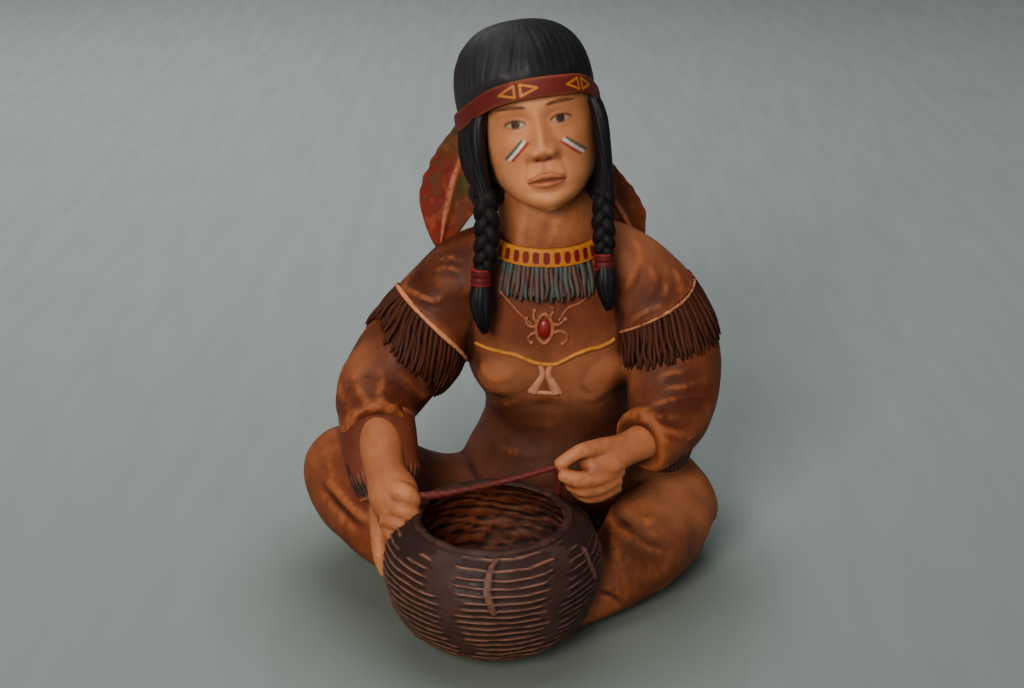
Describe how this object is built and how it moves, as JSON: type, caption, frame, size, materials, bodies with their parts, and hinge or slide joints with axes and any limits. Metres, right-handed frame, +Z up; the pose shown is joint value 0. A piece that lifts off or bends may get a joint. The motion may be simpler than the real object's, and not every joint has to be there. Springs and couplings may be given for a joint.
{
  "type": "ceramic figurine",
  "caption": "Slip-cast ceramic figurine of a seated figure with braids, feathers and a fringed dress, weaving a hollow round basket in front of crossed legs.",
  "frame": {"origin": "on the flat underside, below the centre of the whole figurine's bounding box", "axes": "+Z up, the figure faces -Y and its own left hand is towards +X"},
  "size_m": [0.2314, 0.214, 0.3023],
  "materials": {
    "painted_clay": "hand-painted and antiqued ceramic with a satin sheen",
    "skin_paint": "satin warm brown paint with dark antiquing in the recesses",
    "hair_paint": "near-black paint with a bluish sheen on the strands",
    "basket_paint": "dark brown paint wiped off the raised coils",
    "feather_paint": "red-brown and tan paint, dry-brushed along the barbs",
    "trim_paint": "bright red, ochre and grey-green paint on the trim and fringes"
  },
  "bodies": {
    "root": {"figurine": "painted_clay"}
  },
  "joints": []
}
